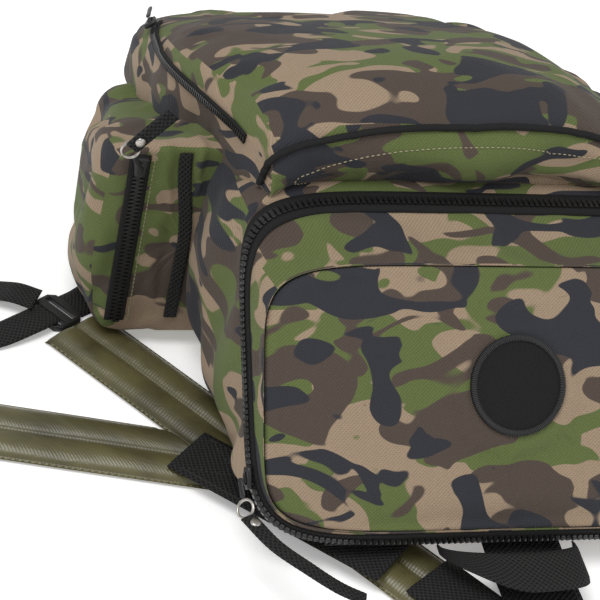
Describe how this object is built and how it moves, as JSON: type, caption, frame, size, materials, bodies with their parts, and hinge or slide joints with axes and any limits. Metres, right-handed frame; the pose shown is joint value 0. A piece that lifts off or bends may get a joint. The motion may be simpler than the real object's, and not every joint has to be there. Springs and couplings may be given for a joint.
{
  "type": "camouflage rucksack",
  "caption": "Soft camouflage rucksack lying on its back, with a zipped lid, front and side zip pockets, padded shoulder straps, webbing adjusters and a grab handle.",
  "frame": {"origin": "centre of the back pad's flat face, which lies on the floor", "axes": "+X across the bag towards its right side, +Y from the bag's top towards its bottom, +Z from the back panel to the front, up when it lies down"},
  "size_m": [0.7259, 0.508, 0.2174],
  "materials": {
    "camouflage_cloth": null,
    "zip_tape": "black zip tape with moulded plastic teeth",
    "black_webbing": "ribbed polypropylene webbing",
    "olive_coated_cloth": "coated cloth with a low gloss, quilted in channels",
    "black_plastic": "moulded",
    "nickel_steel": "nickel plated",
    "black_mesh_foam": "spacer mesh over foam",
    "woven_patch": "plain black twill with an overlocked rim"
  },
  "bodies": {
    "bag": {"main_shell": "camouflage_cloth", "back_pad": "black_mesh_foam", "base_board": "black_plastic", "main_zip_body_tape": "zip_tape", "lid_hinge_strip": "black_webbing", "front_pocket_shell": "camouflage_cloth", "front_pocket_piping": "black_webbing", "front_pocket_zip": "zip_tape", "side_pocket_shell_left": "camouflage_cloth", "side_pocket_shell_right": "camouflage_cloth", "side_pocket_zip_left": "zip_tape", "side_pocket_zip_right": "zip_tape", "side_pocket_binding_left": "black_webbing", "side_pocket_binding_right": "black_webbing", "lower_tab_left": "camouflage_cloth", "lower_tab_right": "camouflage_cloth", "right_strap_hanger": "black_webbing", "right_strap_pad": "olive_coated_cloth", "right_ladder_lock": "black_plastic", "right_adjuster_web": "black_webbing", "left_adjuster_web": "black_webbing"},
    "lid": {"lid_shell": "camouflage_cloth", "main_zip_lid_tape": "zip_tape", "lid_patch": "woven_patch"},
    "main_slider_body": {"main_slider": "black_plastic"},
    "main_pull": {"main_pull_link": "black_plastic", "main_pull_ring": "nickel_steel", "main_pull_tab": "black_webbing", "main_pull_rivet": "nickel_steel"},
    "side_slider_left_body": {"side_slider_left": "black_plastic"},
    "side_pull_left": {"side_left_pull_link": "black_plastic", "side_left_pull_ring": "nickel_steel", "side_left_pull_tab": "black_webbing", "side_left_pull_rivet": "nickel_steel"},
    "side_slider_right_body": {"side_slider_right": "black_plastic"},
    "side_pull_right": {"side_right_pull_link": "black_plastic", "side_right_pull_ring": "nickel_steel", "side_right_pull_tab": "black_webbing", "side_right_pull_rivet": "nickel_steel"},
    "front_slider_body": {"front_slider": "black_plastic"},
    "front_pull": {"front_pull_link": "black_plastic"},
    "handle": {"grab_handle": "black_webbing"},
    "left_strap": {"left_strap_hanger": "black_webbing", "left_strap_pad": "olive_coated_cloth"},
    "left_lock": {"left_ladder_lock": "black_plastic"},
    "right_tail": {"right_adjuster_tail": "black_webbing"}
  },
  "joints": [
    {"name": "lid_hinge", "type": "hinge", "parent": "bag", "child": "lid", "pos_m": [0, -0.24616, 0.02371], "axis": [1, 0, 0], "range_deg": [0, 50]},
    {"name": "main_zip_slide", "type": "slide", "parent": "bag", "child": "main_slider_body", "axis": [-0.02, 0.729, 0.6843], "range_m": [0, 0.06]},
    {"name": "main_pull_swing", "type": "hinge", "parent": "main_slider_body", "child": "main_pull", "pos_m": [-0.16429, -0.21736, 0.05074], "axis": [0, 0, 1], "range_deg": [-35, 0]},
    {"name": "side_zip_slide_left", "type": "slide", "parent": "bag", "child": "side_slider_left_body", "axis": [0, 0, 1], "range_m": [-0.11, 0]},
    {"name": "side_pull_swing_left", "type": "hinge", "parent": "side_slider_left_body", "child": "side_pull_left", "pos_m": [-0.206, -0.0462, 0.14464], "axis": [1, 0, 0], "range_deg": [0, 150]},
    {"name": "side_zip_slide_right", "type": "slide", "parent": "bag", "child": "side_slider_right_body", "axis": [0, 0, 1], "range_m": [-0.11, 0]},
    {"name": "side_pull_swing_right", "type": "hinge", "parent": "side_slider_right_body", "child": "side_pull_right", "pos_m": [0.206, -0.0462, 0.14464], "axis": [1, 0, 0], "range_deg": [0, 150]},
    {"name": "front_zip_slide", "type": "slide", "parent": "bag", "child": "front_slider_body", "axis": [-0.2724, -0.9351, 0.2267], "range_m": [0, 0.02]},
    {"name": "front_pull_swing", "type": "hinge", "parent": "front_slider_body", "child": "front_pull", "pos_m": [-0.17371, 0.12383, 0.15088], "axis": [0.7942, -0.0855, 0.6016], "range_deg": [0, 120]},
    {"name": "handle_hinge", "type": "hinge", "parent": "bag", "child": "handle", "pos_m": [-0.001, -0.2475, 0.0195], "axis": [-1, 0, 0], "range_deg": [0, 15]},
    {"name": "left_strap_swivel", "type": "hinge", "parent": "bag", "child": "left_strap", "pos_m": [-0.071, -0.2505, 0.0089], "axis": [0, 0, 1], "range_deg": [0, 30]},
    {"name": "left_lock_hinge", "type": "hinge", "parent": "left_strap", "child": "left_lock", "pos_m": [-0.47229, -0.07443, 0.0048], "axis": [0.239, 0.971, 0], "range_deg": [0, 60]},
    {"name": "right_tail_slide", "type": "slide", "parent": "bag", "child": "right_tail", "axis": [-0.8073, -0.5902, 0], "range_m": [0, 0.02]}
  ]
}
